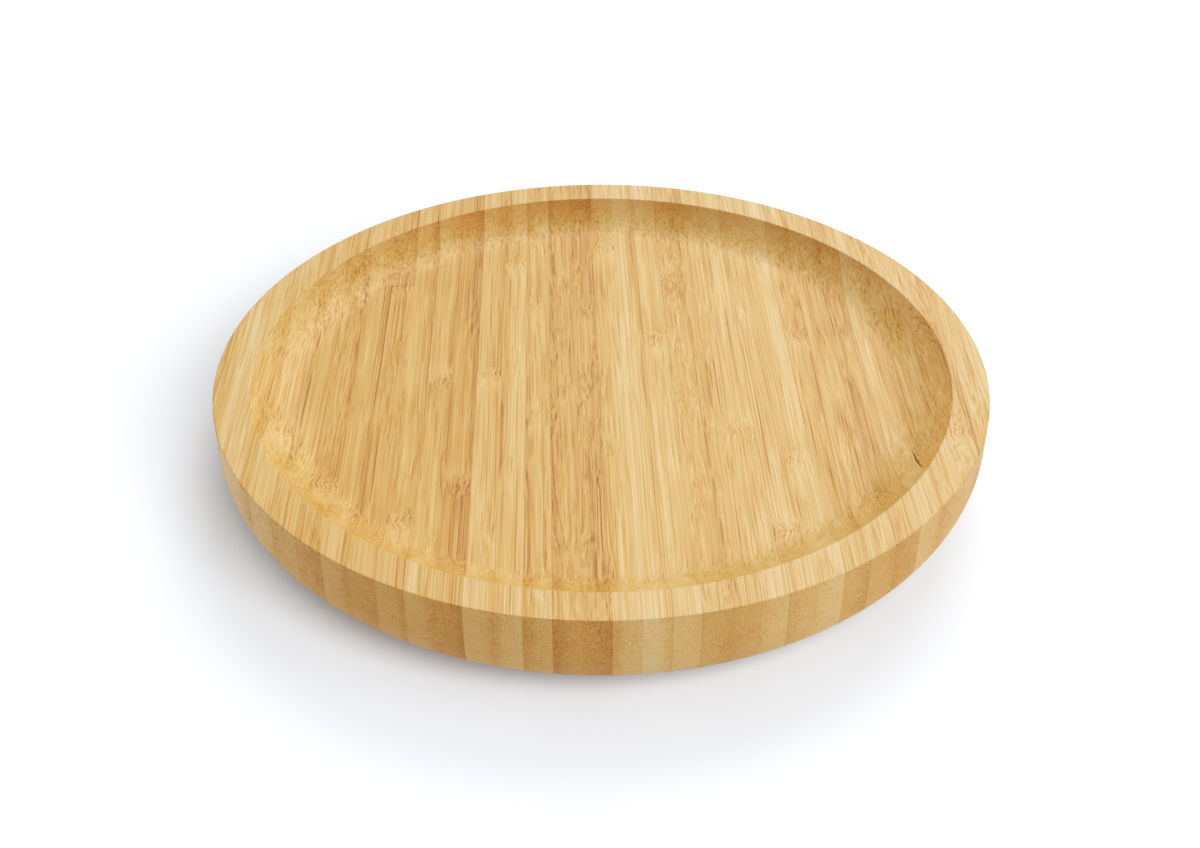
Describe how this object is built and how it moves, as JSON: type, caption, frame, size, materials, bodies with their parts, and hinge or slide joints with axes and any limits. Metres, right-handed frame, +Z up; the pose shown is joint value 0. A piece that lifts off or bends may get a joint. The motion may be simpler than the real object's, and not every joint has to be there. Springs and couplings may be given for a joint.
{
  "type": "lazy susan turntable",
  "caption": "Round bamboo tray with a shallow coved recess, turning on a ball bearing plate over a round base disc with rubber feet.",
  "frame": {"origin": "centre of the four feet on the resting surface, on the turning axis", "axes": "+Z up along the turning axis, +Y along the tray's laminated strips at rest, +X across the strips"},
  "size_m": [0.2, 0.2, 0.028],
  "materials": {
    "tray_bamboo": "edge-grain laminated bamboo, light natural tone, satin food-safe oil finish",
    "base_bamboo": "edge-grain laminated bamboo, light natural tone, matt",
    "pressed_steel": "zinc-plated pressed sheet steel",
    "ball_steel": "polished bearing steel",
    "cage_nylon": "natural white nylon, matt",
    "screw_steel": "zinc-plated steel",
    "foot_rubber": "dark moulded rubber, matt"
  },
  "bodies": {
    "base": {"base_disc": "base_bamboo", "foot_1": "foot_rubber", "foot_2": "foot_rubber", "foot_3": "foot_rubber", "foot_4": "foot_rubber", "foot_screws": "screw_steel", "base_screws": "screw_steel", "lower_race": "pressed_steel", "centre_eyelet": "pressed_steel"},
    "tray": {"tray": "tray_bamboo", "upper_race": "pressed_steel", "tray_screws": "screw_steel"},
    "cage": {"ball_cage": "cage_nylon"},
    "ball_01": {"ball_01": "ball_steel"},
    "ball_02": {"ball_02": "ball_steel"},
    "ball_03": {"ball_03": "ball_steel"},
    "ball_04": {"ball_04": "ball_steel"},
    "ball_05": {"ball_05": "ball_steel"},
    "ball_06": {"ball_06": "ball_steel"},
    "ball_07": {"ball_07": "ball_steel"},
    "ball_08": {"ball_08": "ball_steel"},
    "ball_09": {"ball_09": "ball_steel"},
    "ball_10": {"ball_10": "ball_steel"},
    "ball_11": {"ball_11": "ball_steel"},
    "ball_12": {"ball_12": "ball_steel"}
  },
  "joints": [
    {"name": "tray_spin", "type": "hinge", "parent": "base", "child": "tray", "pos_m": [0, 0, 0.01], "axis": [0, 0, 1], "continuous": true},
    {"name": "cage_orbit", "type": "hinge", "parent": "base", "child": "cage", "pos_m": [0, 0, 0.01], "axis": [0, 0, 1], "continuous": true},
    {"name": "ball_01_roll", "type": "hinge", "parent": "cage", "child": "ball_01", "pos_m": [0.04, 0, 0.01], "axis": [1, 0, 0], "continuous": true},
    {"name": "ball_02_roll", "type": "hinge", "parent": "cage", "child": "ball_02", "pos_m": [0.03464, 0.02, 0.01], "axis": [0.866, 0.5, 0], "continuous": true},
    {"name": "ball_03_roll", "type": "hinge", "parent": "cage", "child": "ball_03", "pos_m": [0.02, 0.03464, 0.01], "axis": [0.5, 0.866, 0], "continuous": true},
    {"name": "ball_04_roll", "type": "hinge", "parent": "cage", "child": "ball_04", "pos_m": [0, 0.04, 0.01], "axis": [0, 1, 0], "continuous": true},
    {"name": "ball_05_roll", "type": "hinge", "parent": "cage", "child": "ball_05", "pos_m": [-0.02, 0.03464, 0.01], "axis": [-0.5, 0.866, 0], "continuous": true},
    {"name": "ball_06_roll", "type": "hinge", "parent": "cage", "child": "ball_06", "pos_m": [-0.03464, 0.02, 0.01], "axis": [-0.866, 0.5, 0], "continuous": true},
    {"name": "ball_07_roll", "type": "hinge", "parent": "cage", "child": "ball_07", "pos_m": [-0.04, 0, 0.01], "axis": [-1, 0, 0], "continuous": true},
    {"name": "ball_08_roll", "type": "hinge", "parent": "cage", "child": "ball_08", "pos_m": [-0.03464, -0.02, 0.01], "axis": [-0.866, -0.5, 0], "continuous": true},
    {"name": "ball_09_roll", "type": "hinge", "parent": "cage", "child": "ball_09", "pos_m": [-0.02, -0.03464, 0.01], "axis": [-0.5, -0.866, 0], "continuous": true},
    {"name": "ball_10_roll", "type": "hinge", "parent": "cage", "child": "ball_10", "pos_m": [0, -0.04, 0.01], "axis": [0, -1, 0], "continuous": true},
    {"name": "ball_11_roll", "type": "hinge", "parent": "cage", "child": "ball_11", "pos_m": [0.02, -0.03464, 0.01], "axis": [0.5, -0.866, 0], "continuous": true},
    {"name": "ball_12_roll", "type": "hinge", "parent": "cage", "child": "ball_12", "pos_m": [0.03464, -0.02, 0.01], "axis": [0.866, -0.5, 0], "continuous": true}
  ],
  "couplings": [
    {"joint": "cage_orbit", "follows": "tray_spin", "ratio": 0.5},
    {"joint": "ball_01_roll", "follows": "tray_spin", "ratio": -10},
    {"joint": "ball_02_roll", "follows": "tray_spin", "ratio": -10},
    {"joint": "ball_03_roll", "follows": "tray_spin", "ratio": -10},
    {"joint": "ball_04_roll", "follows": "tray_spin", "ratio": -10},
    {"joint": "ball_05_roll", "follows": "tray_spin", "ratio": -10},
    {"joint": "ball_06_roll", "follows": "tray_spin", "ratio": -10},
    {"joint": "ball_07_roll", "follows": "tray_spin", "ratio": -10},
    {"joint": "ball_08_roll", "follows": "tray_spin", "ratio": -10},
    {"joint": "ball_09_roll", "follows": "tray_spin", "ratio": -10},
    {"joint": "ball_10_roll", "follows": "tray_spin", "ratio": -10},
    {"joint": "ball_11_roll", "follows": "tray_spin", "ratio": -10},
    {"joint": "ball_12_roll", "follows": "tray_spin", "ratio": -10}
  ]
}
